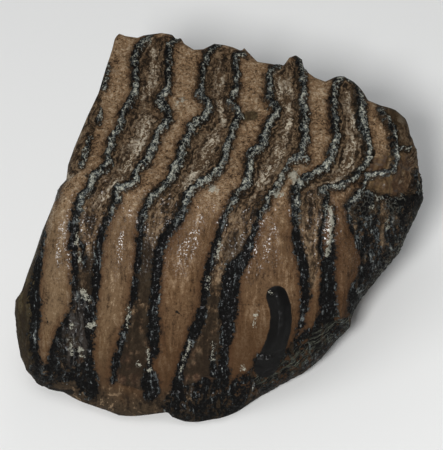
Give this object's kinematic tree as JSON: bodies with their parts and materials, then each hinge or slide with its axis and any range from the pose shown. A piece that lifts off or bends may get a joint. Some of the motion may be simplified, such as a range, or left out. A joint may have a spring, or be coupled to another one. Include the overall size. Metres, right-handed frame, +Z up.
{
  "type": "fossil mammoth tooth fragment",
  "caption": "Broken block of a fossil mammoth molar: dark crinkled enamel walls run in pairs through brown dentine and tan cement, across a worn chewing face and a smoother side.",
  "frame": {"origin": "middle of the fragment's footprint box, on the surface it rests on", "axes": "+X across the plates, from the fragment's left end to its right end, its longest side; -Y to the front, where the broken side slopes down; +Z up, out of the chewing face, its shortest side"},
  "size_m": [0.0698, 0.0618, 0.0393],
  "materials": {
    "fossil_tooth": "worn fossil tooth: semi-gloss near-black enamel, tan granular cement and brown dentine"
  },
  "bodies": {
    "root": {"tooth_fragment": "fossil_tooth"}
  },
  "joints": []
}
